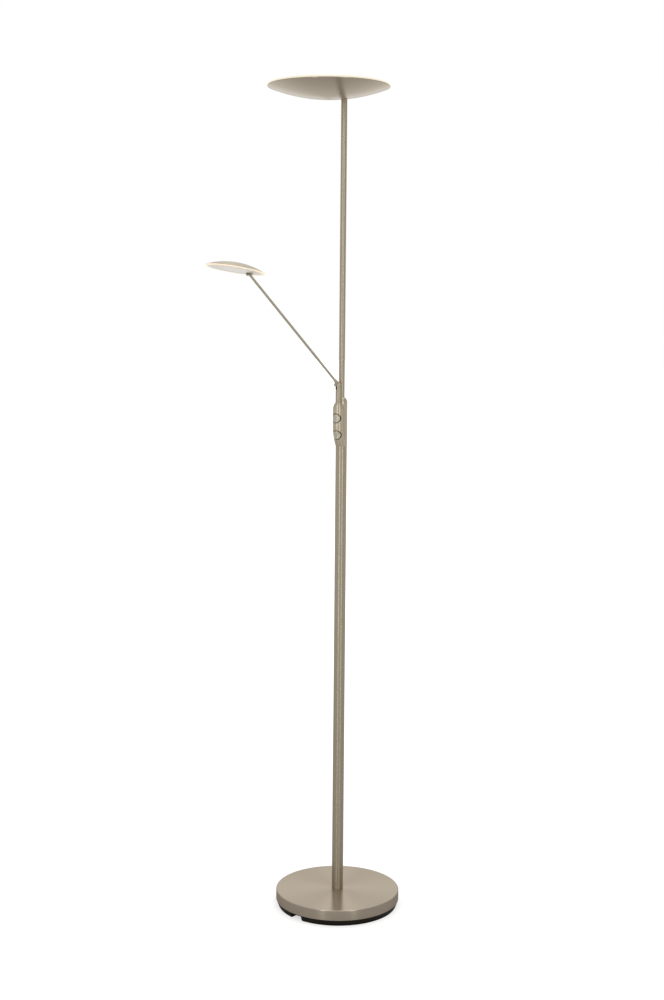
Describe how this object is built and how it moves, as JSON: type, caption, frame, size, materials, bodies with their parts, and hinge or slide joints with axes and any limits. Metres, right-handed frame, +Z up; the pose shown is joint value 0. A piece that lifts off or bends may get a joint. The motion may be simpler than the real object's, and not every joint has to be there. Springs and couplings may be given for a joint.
{
  "type": "torchiere floor lamp with reading light",
  "caption": "Floor lamp with a round weighted base, straight stepped pole, uplighter dish, twin push-button dimmer housing and a reading head on a thin jointed arm.",
  "frame": {"origin": "centre of the round base on the floor, on the axis of the pole", "axes": "+Z up along the pole, the push buttons and the dish look towards -Y, the reading arm leans to -X of them at rest"},
  "size_m": [0.325, 0.4299, 1.8],
  "materials": {
    "satin_nickel": "satin",
    "zinc": "satin",
    "black_plastic": "fine grain",
    "black_rubber": "matt",
    "iron": "rough",
    "aluminium": "plain",
    "green_board": "satin",
    "white_board": "satin",
    "diode": "clear",
    "opal": "opal",
    "switch_black": "matt",
    "white_nylon": "matt"
  },
  "bodies": {
    "stand": {"base_cover": "satin_nickel", "base_weight": "iron", "base_foot": "black_plastic", "foot_strip": "black_rubber", "foot_screws": "zinc", "base_nipple": "zinc", "base_washer": "zinc", "base_nut": "zinc", "pole_plug": "zinc", "lower_pole": "satin_nickel", "switch_housing": "satin_nickel", "housing_screw": "zinc", "dimmer_board": "green_board", "dimmer_switches": "switch_black", "board_screws": "zinc", "upper_pole": "satin_nickel", "top_plug": "zinc", "top_nipple": "zinc", "dish_shell": "satin_nickel", "dish_washer": "zinc", "dish_nut": "zinc", "uplight_spreader": "aluminium", "uplight_board": "white_board", "uplight_leds": "diode", "uplight_screws": "zinc", "uplight_diffuser": "opal"},
    "upper_button": {"upper_button": "satin_nickel"},
    "lower_button": {"lower_button": "satin_nickel"},
    "post": {"reading_post": "satin_nickel", "post_washer": "white_nylon", "post_spring_washer": "zinc", "post_nut": "zinc", "pivot_screw": "satin_nickel", "pivot_nut": "satin_nickel"},
    "arm": {"arm_eye": "satin_nickel", "pivot_washers": "white_nylon", "arm_tube": "satin_nickel", "arm_crossbar": "satin_nickel"},
    "head": {"head_shell": "satin_nickel", "head_spreader": "aluminium", "head_board": "white_board", "head_leds": "diode", "head_screws": "zinc", "head_diffuser": "opal", "head_saddle": "satin_nickel", "saddle_screws": "zinc"}
  },
  "joints": [
    {"name": "upper_button_press", "type": "slide", "parent": "stand", "child": "upper_button", "axis": [0, 1, 0], "range_m": [0, 0.0008], "stiffness_N_per_m": 900},
    {"name": "lower_button_press", "type": "slide", "parent": "stand", "child": "lower_button", "axis": [0, 0.9737, 0.2278], "range_m": [0, 0.0008], "stiffness_N_per_m": 900},
    {"name": "post_swivel", "type": "hinge", "parent": "stand", "child": "post", "pos_m": [0, -0.014, 1.127], "axis": [0, 0, 1], "range_deg": [-90, 150]},
    {"name": "arm_pitch", "type": "hinge", "parent": "post", "child": "arm", "pos_m": [0, -0.014, 1.1705], "axis": [-0.866, 0.5, 0], "range_deg": [-45, 28]},
    {"name": "head_tilt", "type": "hinge", "parent": "arm", "child": "head", "pos_m": [-0.10827, -0.20152, 1.40271], "axis": [-0.866, 0.5, 0], "range_deg": [-90, 25]}
  ]
}
